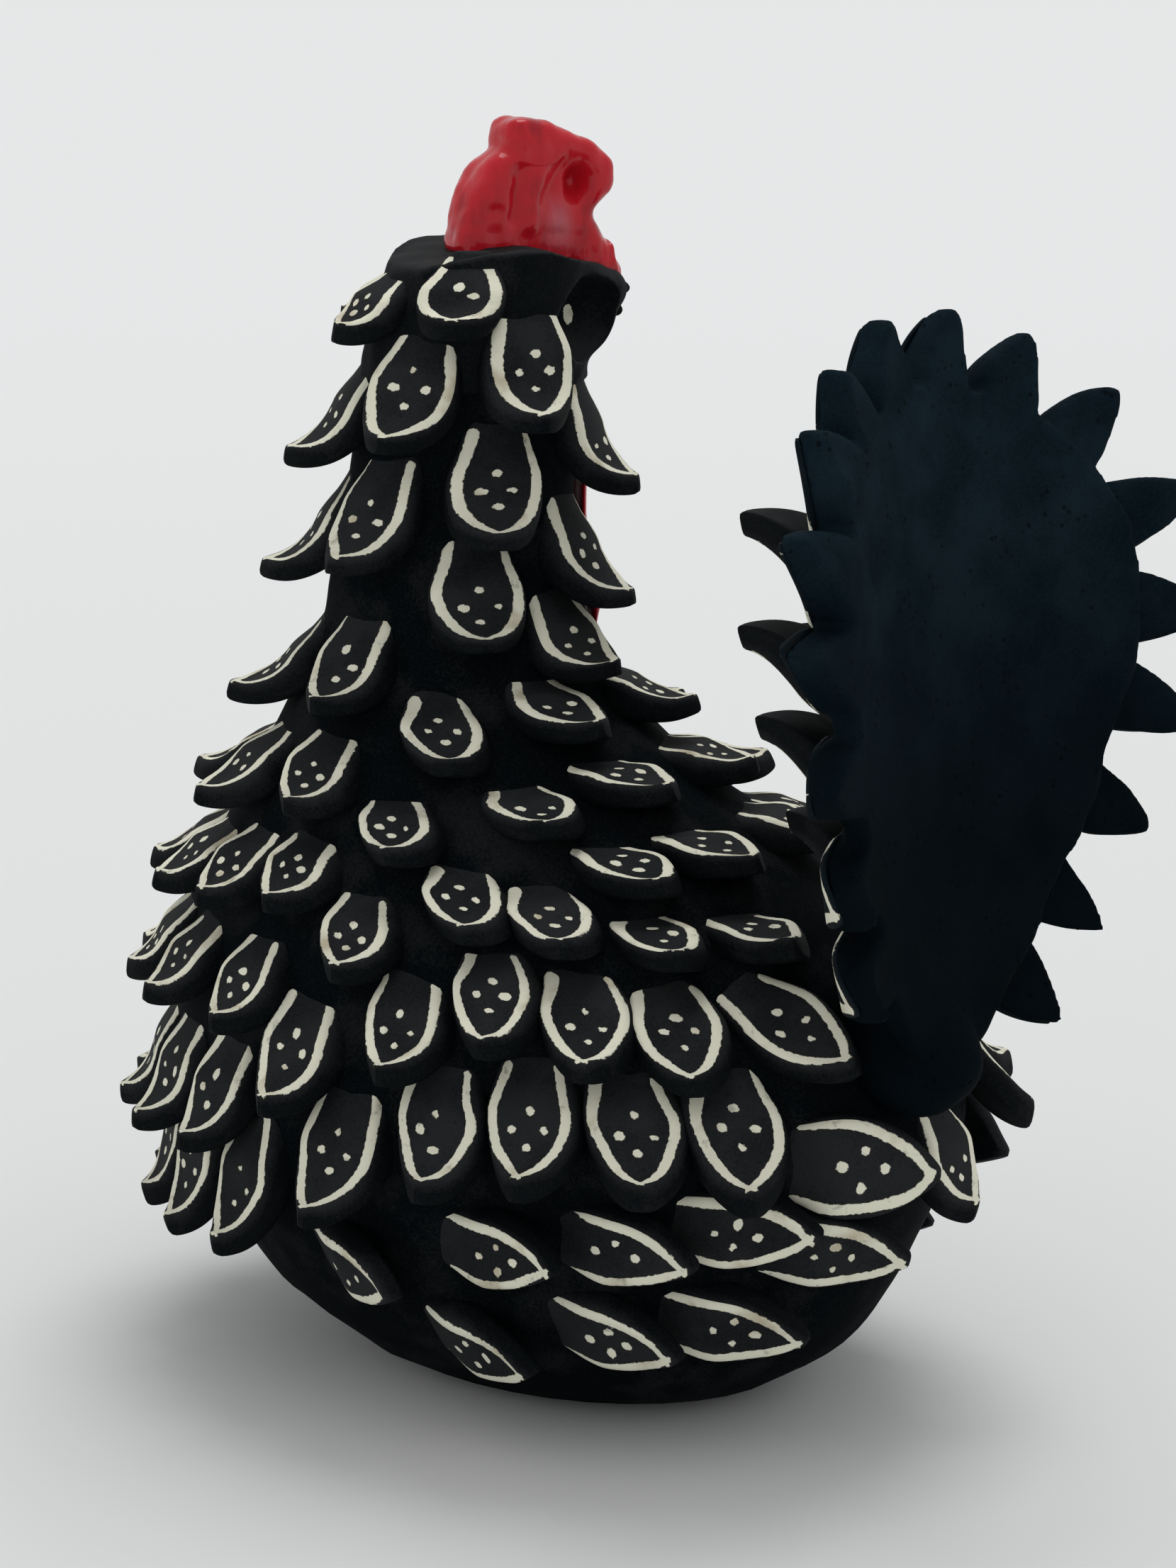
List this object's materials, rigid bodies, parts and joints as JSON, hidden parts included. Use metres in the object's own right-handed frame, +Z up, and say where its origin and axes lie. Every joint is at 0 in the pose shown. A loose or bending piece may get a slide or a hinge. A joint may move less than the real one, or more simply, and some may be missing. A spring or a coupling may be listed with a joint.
{
  "type": "hen figurine",
  "caption": "Hollow hand-built black clay hen figurine with curled leaf-shaped feathers, a scoop-shaped tail and a red glazed comb and wattles.",
  "frame": {"origin": "centre of the flat foot's underside, on the surface that the hen stands on", "axes": "+Z up, -Y toward the breast, +Y toward the tail, +X toward the side that the face turns away from"},
  "size_m": [0.1156, 0.1652, 0.1913],
  "materials": {
    "black_clay": "matt, smoke-black, lightly burnished",
    "painted_clay": "matt, smoke-black with hand-painted cream slip outlines and dots",
    "red_glaze": "gloss red glaze"
  },
  "bodies": {
    "root": {"foot_plate": "black_clay", "bowl_shell": "black_clay", "back_shell": "black_clay", "neck_shell": "black_clay", "head": "black_clay", "beak_upper": "black_clay", "beak_lower": "black_clay", "tail_plate": "black_clay", "tail_root": "black_clay", "neck_feather_row_1": "painted_clay", "neck_feather_row_2": "painted_clay", "neck_feather_row_3": "painted_clay", "neck_feather_row_4": "painted_clay", "neck_feather_row_5": "painted_clay", "body_feather_row_1": "painted_clay", "body_feather_row_2": "painted_clay", "body_feather_row_3": "painted_clay", "body_feather_row_4": "painted_clay", "flank_feather_row_1_left": "painted_clay", "flank_feather_row_1_right": "painted_clay", "flank_feather_row_2_left": "painted_clay", "flank_feather_row_2_right": "painted_clay", "flank_feather_row_3_left": "painted_clay", "flank_feather_row_3_right": "painted_clay", "rump_feather": "painted_clay", "tail_feather_row_1": "painted_clay", "tail_feather_row_2": "painted_clay", "tail_feather_row_3": "painted_clay", "tail_feather_row_4": "painted_clay", "tail_petal_01": "black_clay", "tail_petal_02": "black_clay", "tail_petal_03": "black_clay", "tail_petal_04": "black_clay", "tail_petal_05": "black_clay", "tail_petal_06": "black_clay", "tail_petal_07": "black_clay", "tail_petal_08": "black_clay", "tail_petal_09": "black_clay", "tail_petal_10": "black_clay", "tail_petal_11": "black_clay", "tail_petal_12": "black_clay", "tail_petal_13": "black_clay", "tail_petal_14": "black_clay", "tail_petal_15": "black_clay", "tail_petal_16": "black_clay", "tail_petal_17": "black_clay", "wattle_left": "red_glaze", "wattle_right": "red_glaze", "comb": "red_glaze"}
  },
  "joints": []
}
